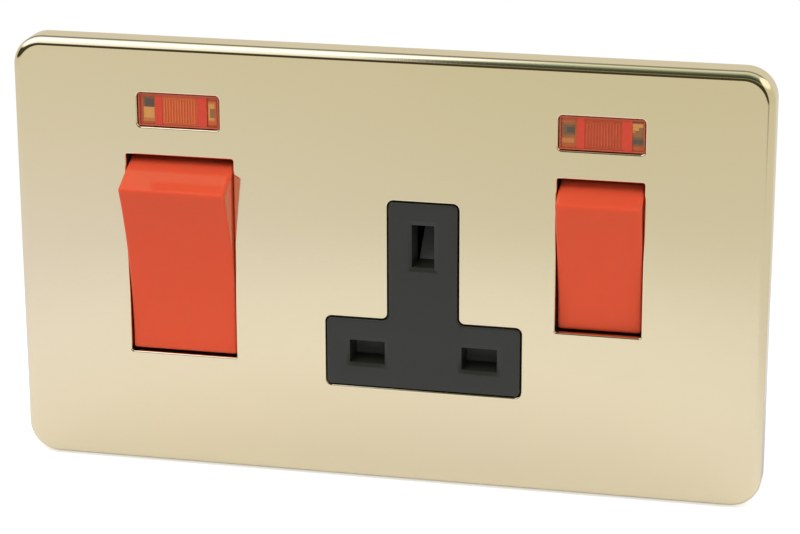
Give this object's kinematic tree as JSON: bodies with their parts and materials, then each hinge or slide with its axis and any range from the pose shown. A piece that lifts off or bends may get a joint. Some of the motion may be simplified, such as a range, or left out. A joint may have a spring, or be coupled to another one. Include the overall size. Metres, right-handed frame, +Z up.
{
  "type": "cooker control unit",
  "caption": "Wall plate in brass with a large red cooker switch, a switched three-pin socket with a smaller red switch, and neon lamps.",
  "frame": {"origin": "on the wall plane, midway between the two fixing slots, behind the centre of the front plate", "axes": "+X to the user's right along the plate, +Y into the wall, +Z up"},
  "size_m": [0.148, 0.0455, 0.0864],
  "materials": {
    "plate_brass": "polished, lacquered",
    "carrier_plastic": "moulded, matt",
    "yoke_steel": "zinc plated, pressed",
    "black_moulding": "moulded, satin",
    "housing_plastic": "moulded, matt",
    "red_moulding": "moulded, gloss",
    "shutter_plastic": "moulded, matt",
    "copper": "stamped, bright",
    "contact_brass": "stamped, bright",
    "terminal_brass": "machined",
    "plated_steel": "zinc plated",
    "spring_steel": "drawn wire",
    "nylon": "moulded",
    "lens_clear": "clear over a red back, ribbed",
    "lamp_glass": "clear glass",
    "resistor_coat": "coated"
  },
  "bodies": {
    "base": {"front_plate": "plate_brass", "plate_carrier": "carrier_plastic", "mounting_yoke": "yoke_steel", "front_moulding": "black_moulding", "rear_housing": "housing_plastic", "line_feed_bar": "copper", "neutral_bar": "copper", "line_load_bar": "copper", "neutral_load_bar": "copper", "line_link": "copper", "socket_switch_bar": "copper", "line_socket_contact": "contact_brass", "neutral_socket_contact": "contact_brass", "earth_socket_contact": "contact_brass", "earth_strap": "contact_brass", "terminal_screws": "plated_steel", "housing_screws": "plated_steel", "shutter_spring": "spring_steel", "line_feed_terminal": "terminal_brass", "neutral_feed_terminal": "terminal_brass", "line_load_terminal": "terminal_brass", "neutral_load_terminal": "terminal_brass", "earth_terminal": "terminal_brass", "cooker_neon_lens": "lens_clear", "socket_neon_lens": "lens_clear", "cooker_neon_lamp": "lamp_glass", "socket_neon_lamp": "lamp_glass", "cooker_neon_resistor": "resistor_coat", "socket_neon_resistor": "resistor_coat"},
    "cooker_rocker_body": {"cooker_rocker": "red_moulding", "cooker_line_spring": "spring_steel", "cooker_neutral_spring": "spring_steel"},
    "socket_rocker_body": {"socket_rocker": "red_moulding", "socket_plunger_spring": "spring_steel"},
    "cooker_contacts": {"cooker_line_blade": "copper", "cooker_neutral_blade": "copper"},
    "socket_contact": {"socket_blade": "copper"},
    "cooker_line_plunger_body": {"cooker_line_plunger": "nylon"},
    "cooker_neutral_plunger_body": {"cooker_neutral_plunger": "nylon"},
    "socket_plunger_body": {"socket_plunger": "nylon"},
    "shutter_body": {"pin_shutter": "shutter_plastic"}
  },
  "joints": [
    {"name": "cooker_rocker_hinge", "type": "hinge", "parent": "base", "child": "cooker_rocker_body", "pos_m": [-0.0406, 0.0031, 0.00035], "axis": [1, 0, 0], "range_deg": [-24, 0]},
    {"name": "socket_rocker_hinge", "type": "hinge", "parent": "base", "child": "socket_rocker_body", "pos_m": [0.0419, 0.0031, 0.0054], "axis": [1, 0, 0], "range_deg": [-24, 0]},
    {"name": "cooker_contacts_hinge", "type": "hinge", "parent": "base", "child": "cooker_contacts", "pos_m": [-0.0406, 0.01695, 0.00035], "axis": [1, 0, 0], "range_deg": [0, 24]},
    {"name": "socket_contact_hinge", "type": "hinge", "parent": "base", "child": "socket_contact", "pos_m": [0.0419, 0.01695, 0.0054], "axis": [1, 0, 0], "range_deg": [0, 24]},
    {"name": "cooker_line_plunger_slide", "type": "slide", "parent": "cooker_rocker_body", "child": "cooker_line_plunger_body", "axis": [0, -0.9781, -0.2079], "range_m": [0, 0.0015], "stiffness_N_per_m": 600, "springref_m": -0.004, "deforming": ["cooker_line_spring"]},
    {"name": "cooker_neutral_plunger_slide", "type": "slide", "parent": "cooker_rocker_body", "child": "cooker_neutral_plunger_body", "axis": [0, -0.9781, -0.2079], "range_m": [0, 0.0015], "stiffness_N_per_m": 600, "springref_m": -0.004, "deforming": ["cooker_neutral_spring"]},
    {"name": "socket_plunger_slide", "type": "slide", "parent": "socket_rocker_body", "child": "socket_plunger_body", "axis": [0, -0.9781, -0.2079], "range_m": [0, 0.0015], "stiffness_N_per_m": 600, "springref_m": -0.004, "deforming": ["socket_plunger_spring"]},
    {"name": "shutter_slide", "type": "slide", "parent": "base", "child": "shutter_body", "axis": [0, 0, -1], "range_m": [0, 0.0054], "stiffness_N_per_m": 60, "springref_m": -0.003, "deforming": ["shutter_spring"]}
  ],
  "couplings": [
    {"joint": "cooker_contacts_hinge", "follows": "cooker_rocker_hinge", "ratio": -1},
    {"joint": "socket_contact_hinge", "follows": "socket_rocker_hinge", "ratio": -1}
  ]
}
